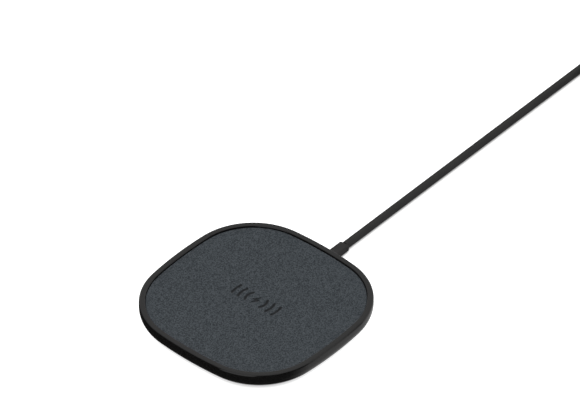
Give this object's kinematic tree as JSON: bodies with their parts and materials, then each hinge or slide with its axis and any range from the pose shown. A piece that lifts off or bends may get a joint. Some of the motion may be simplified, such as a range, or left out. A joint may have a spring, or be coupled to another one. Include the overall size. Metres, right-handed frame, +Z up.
{
  "type": "wireless charging pad",
  "caption": "Low rounded-square wireless charging pad: woven fabric top in a black rim, rubber foot mat, captive USB lead with its spare length coiled and tied.",
  "frame": {"origin": "centre of the pad's footprint, on the surface it stands on", "axes": "+Z up out of the fabric top; +Y towards the back, where the lead leaves; +X to the right seen from the front"},
  "size_m": [0.1328, 0.3324, 0.0104],
  "materials": {
    "fabric": "fine heathered weave, dark slate grey",
    "rim_plastic": "black, satin gloss",
    "cover_plastic": "black, fine spark texture",
    "inner_plastic": "black glass-filled plastic",
    "foot_rubber": "matte grip rubber",
    "adhesive": "translucent double-sided film",
    "litz_copper": "enamelled copper litz",
    "ferrite": "sintered ferrite",
    "film": "amber polyimide",
    "sensor_epoxy": "epoxy bead",
    "board": "green solder mask",
    "chip_epoxy": "moulded epoxy",
    "capacitor": "ceramic body",
    "led": "white package",
    "clear_plastic": "frosted light pipe",
    "aluminium": "rolled sheet",
    "thermal_silicone": "soft gap pad",
    "steel": "zinc plated",
    "lead_rubber": "matte TPE jacket",
    "wire_insulation": "PVC insulation",
    "tie_fabric": "hook-and-loop strap",
    "plug_plastic": "moulded overmould",
    "plug_steel": "nickel-plated steel",
    "plug_insulator": "white insulator",
    "gold": "gold-plated contacts"
  },
  "bodies": {
    "root": {"fabric_top": "fabric", "fabric_adhesive": "adhesive", "top_plate": "inner_plastic", "rim_housing": "rim_plastic", "bottom_cover": "cover_plastic", "foot_mat": "foot_rubber", "foot_adhesive": "adhesive", "charging_coil": "litz_copper", "coil_leads": "litz_copper", "coil_tape": "adhesive", "ferrite_sheet": "ferrite", "ferrite_adhesive": "adhesive", "insulation_film": "film", "temperature_sensor": "sensor_epoxy", "circuit_board": "board", "controller_chip": "chip_epoxy", "power_transistors": "chip_epoxy", "resonant_capacitors": "capacitor", "filter_inductor": "ferrite", "bulk_capacitors": "capacitor", "chip_resistors": "chip_epoxy", "status_led": "led", "light_pipe": "clear_plastic", "heat_spreader": "aluminium", "thermal_pad": "thermal_silicone", "cover_screws": "steel", "board_screws": "steel", "strain_relief": "lead_rubber", "supply_wires": "wire_insulation", "cable_clamp": "inner_plastic", "clamp_screws": "steel", "power_cord": "lead_rubber", "cord_coil": "lead_rubber", "cord_tail": "lead_rubber", "cord_tie": "tie_fabric", "usb_plug_body": "plug_plastic", "usb_plug_shell": "plug_steel", "usb_plug_tongue": "plug_insulator", "usb_plug_contacts": "gold"}
  },
  "joints": []
}
